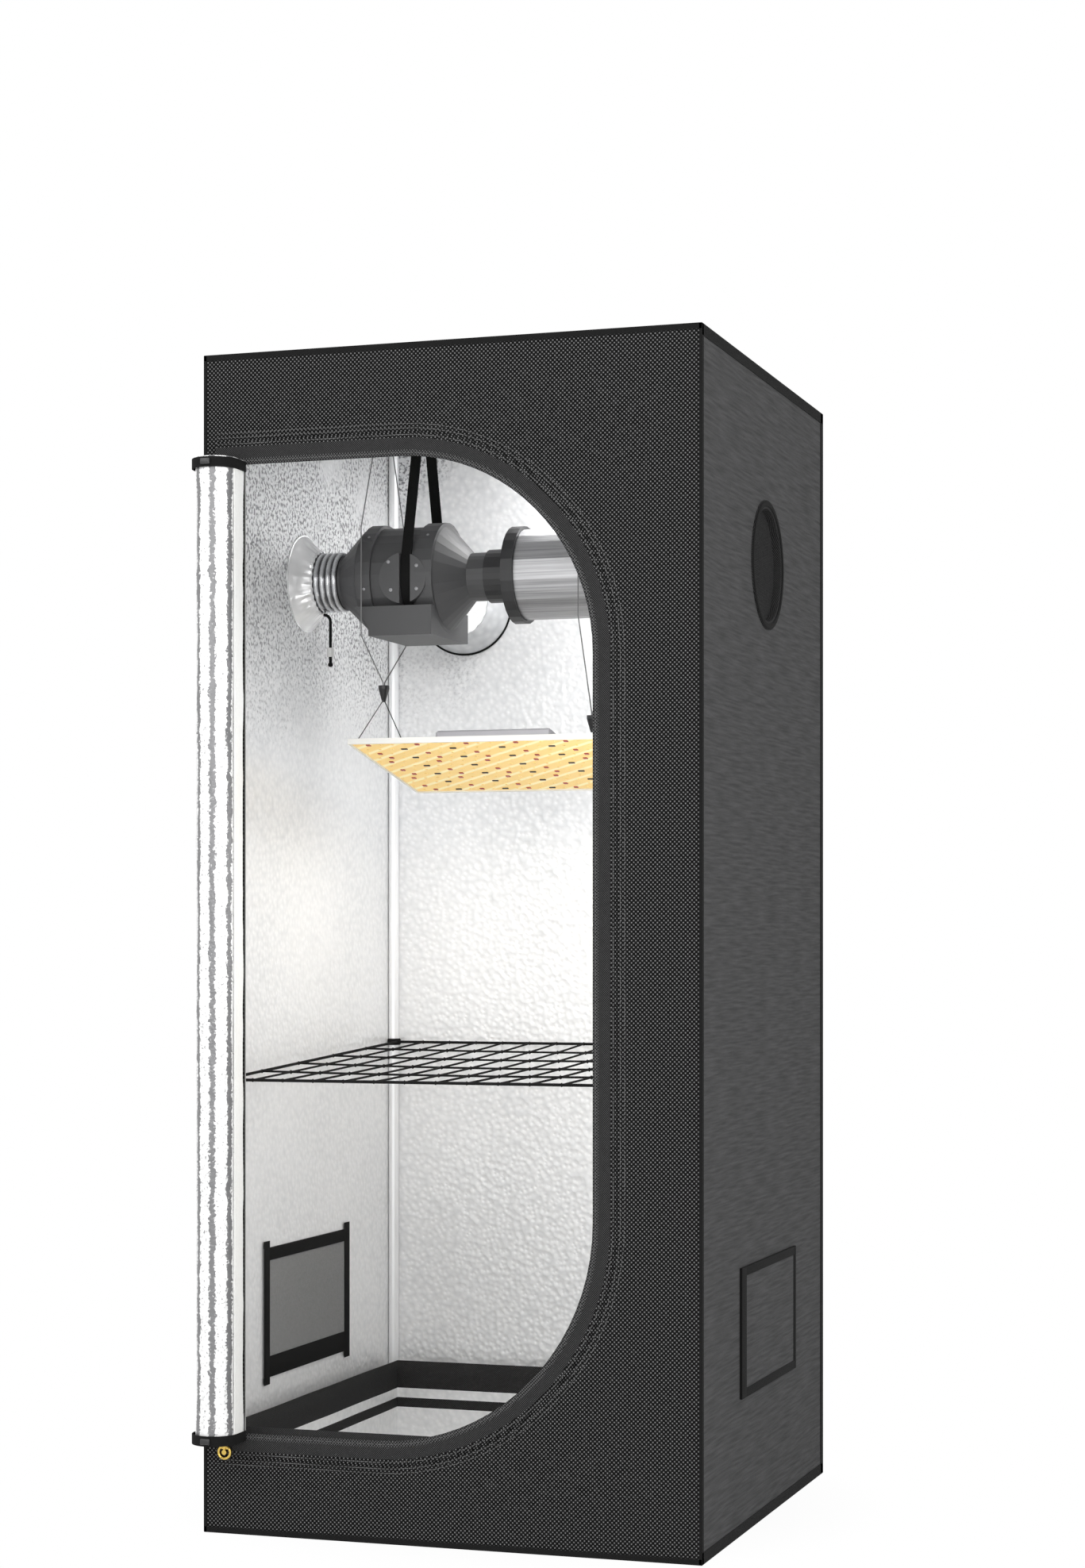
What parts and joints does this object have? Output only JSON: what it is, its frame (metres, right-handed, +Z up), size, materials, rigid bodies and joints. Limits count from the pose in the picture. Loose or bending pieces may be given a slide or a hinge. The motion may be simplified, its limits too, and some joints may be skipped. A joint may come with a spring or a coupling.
{
  "type": "indoor grow tent",
  "caption": "Cloth grow tent on a pole frame with rolled door, duct ports, vents, duct fan, carbon filter, hung light panel and plant net.",
  "frame": {"origin": "middle of the tent's footprint on the floor", "axes": "+Z up, door side towards -Y, duct port in the -X wall, plain port and vent flap in the +X wall"},
  "size_m": [0.7046, 0.7663, 1.6],
  "materials": {
    "frame_steel": "galvanised tube, satin",
    "cover_cloth": "coarse coated cloth outside, silver lining inside",
    "silver_lining": "pebbled reflective film",
    "black_web": "woven webbing and cord",
    "screen_mesh": "fine mesh",
    "brass": "polished",
    "pale_plastic": "satin",
    "fan_plastic": "satin moulding",
    "black_plastic": "satin moulding",
    "duct_foil": "ribbed foil",
    "filter_metal": "fine vertical brushing",
    "light_metal": "white coated plate",
    "diode_board": "lit warm diode board",
    "driver_case": "grey coated case"
  },
  "bodies": {
    "tent": {"corner_bottom_front_left": "frame_steel", "corner_bottom_front_right": "frame_steel", "corner_bottom_back_left": "frame_steel", "corner_bottom_back_right": "frame_steel", "corner_top_front_left": "frame_steel", "corner_top_front_right": "frame_steel", "corner_top_back_left": "frame_steel", "corner_top_back_right": "frame_steel", "upright_front_left": "frame_steel", "upright_front_right": "frame_steel", "upright_back_left": "frame_steel", "upright_back_right": "frame_steel", "rail_bottom_front": "frame_steel", "rail_bottom_back": "frame_steel", "rail_bottom_left": "frame_steel", "rail_bottom_right": "frame_steel", "rail_top_front": "frame_steel", "rail_top_back": "frame_steel", "rail_top_left": "frame_steel", "rail_top_right": "frame_steel", "hanging_bar": "frame_steel", "front_panel": "cover_cloth", "back_panel": "cover_cloth", "left_panel": "cover_cloth", "right_panel": "cover_cloth", "roof_panel": "cover_cloth", "floor_panel": "cover_cloth", "floor_tray": "silver_lining", "door_roll": "silver_lining", "roll_strap_top": "black_web", "roll_strap_bottom": "black_web", "zip_band": "black_web", "left_port_sleeve": "silver_lining", "right_port_sleeve": "cover_cloth", "back_port_sleeve": "silver_lining", "sleeve_drawcord": "black_web", "left_vent_screen": "screen_mesh", "right_vent_screen": "screen_mesh", "outlet_duct": "duct_foil", "fan_body": "fan_plastic", "fan_outlet_cone": "fan_plastic", "fan_inlet_cone": "fan_plastic", "fan_bracket": "fan_plastic", "fan_strap": "black_web", "filter_strap": "black_web", "filter_flange": "black_plastic", "filter_cartridge": "filter_metal", "left_rope": "black_plastic", "right_rope": "black_plastic"},
    "impeller": {"fan_impeller": "black_plastic"},
    "slider": {"zip_slider": "brass"},
    "left_flap": {"left_vent_flap": "cover_cloth"},
    "right_flap": {"right_vent_flap": "cover_cloth"},
    "light": {"light_plate": "light_metal", "light_board": "diode_board", "light_driver": "driver_case", "left_light_hanger": "black_plastic", "right_light_hanger": "black_plastic"},
    "net": {"trellis_net": "black_web"},
    "cord_lock": {"drawcord_lock": "pale_plastic"}
  },
  "joints": [
    {"name": "impeller_spin", "type": "hinge", "parent": "tent", "child": "impeller", "pos_m": [-0.143, 0, 1.33], "axis": [1, 0, 0], "continuous": true},
    {"name": "zip_slide", "type": "slide", "parent": "tent", "child": "slider", "axis": [1, 0, 0], "range_m": [0, 0.2]},
    {"name": "left_flap_fold", "type": "hinge", "parent": "tent", "child": "left_flap", "pos_m": [-0.3526, 0.004, 0.1847], "axis": [0, -1, 0], "range_deg": [0, 175]},
    {"name": "right_flap_fold", "type": "hinge", "parent": "tent", "child": "right_flap", "pos_m": [0.3526, 0.004, 0.1847], "axis": [0, 1, 0], "range_deg": [0, 175]},
    {"name": "light_height", "type": "slide", "parent": "tent", "child": "light", "axis": [0, 0, 1], "range_m": [-0.2, 0.05], "deforming": ["left_rope", "right_rope"]},
    {"name": "net_height", "type": "slide", "parent": "tent", "child": "net", "axis": [0, 0, 1], "range_m": [-0.22, 0.12]},
    {"name": "lock_slide", "type": "slide", "parent": "tent", "child": "cord_lock", "axis": [0, 0, 1], "range_m": [-0.007, 0.03]}
  ]
}
